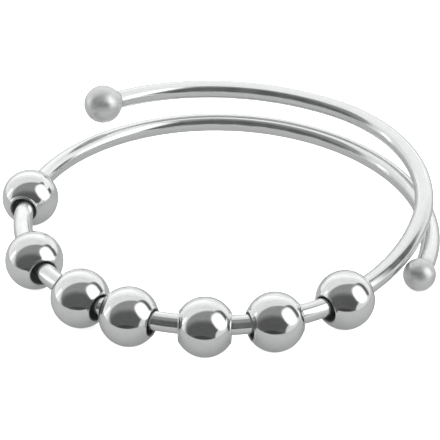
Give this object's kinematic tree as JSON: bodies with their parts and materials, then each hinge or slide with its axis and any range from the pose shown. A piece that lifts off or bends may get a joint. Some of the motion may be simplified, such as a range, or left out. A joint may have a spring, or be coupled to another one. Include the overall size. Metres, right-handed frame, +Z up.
{
  "type": "spinner ring",
  "caption": "Open wire finger ring with ball ends and loose drilled beads that spin on its front stretch.",
  "frame": {"origin": "on the axis of the ring's front stretch, level with the table that it lies on, and within 0.3 mm of the middle of its box", "axes": "+Z up along the ring's axis, -Y towards the beaded front, +X to the side where the strands cross"},
  "size_m": [0.0231, 0.0229, 0.0048],
  "materials": {
    "wire_silver": "polished silver wire",
    "bead_silver": "mirror-polished silver beads"
  },
  "bodies": {
    "band": {"band": "wire_silver"},
    "bead_1": {"bead_1": "bead_silver"},
    "bead_2": {"bead_2": "bead_silver"},
    "bead_3": {"bead_3": "bead_silver"},
    "bead_4": {"bead_4": "bead_silver"},
    "bead_5": {"bead_5": "bead_silver"},
    "bead_6": {"bead_6": "bead_silver"},
    "bead_7": {"bead_7": "bead_silver"}
  },
  "joints": [
    {"name": "bead_1_spin", "type": "hinge", "parent": "band", "child": "bead_1", "pos_m": [-0.00983, 0.00208, 0.0015], "axis": [-0.2071, -0.9783, 0], "continuous": true},
    {"name": "bead_2_spin", "type": "hinge", "parent": "band", "child": "bead_2", "pos_m": [-0.00919, -0.00406, 0.0015], "axis": [0.4042, -0.9147, 0], "continuous": true},
    {"name": "bead_3_spin", "type": "hinge", "parent": "band", "child": "bead_3", "pos_m": [-0.00666, -0.00753, 0.0015], "axis": [0.7491, -0.6625, 0], "continuous": true},
    {"name": "bead_4_spin", "type": "hinge", "parent": "band", "child": "bead_4", "pos_m": [-0.0042, -0.00913, 0.0015], "axis": [0.9085, -0.4179, 0], "continuous": true},
    {"name": "bead_5_spin", "type": "hinge", "parent": "band", "child": "bead_5", "pos_m": [-0.00045, -0.01004, 0.0015], "axis": [0.999, -0.0451, 0], "continuous": true},
    {"name": "bead_6_spin", "type": "hinge", "parent": "band", "child": "bead_6", "pos_m": [0.00297, -0.0096, 0.0015], "axis": [0.9552, 0.2959, 0], "continuous": true},
    {"name": "bead_7_spin", "type": "hinge", "parent": "band", "child": "bead_7", "pos_m": [0.00649, -0.00767, 0.0015], "axis": [0.7631, 0.6462, 0], "continuous": true}
  ]
}
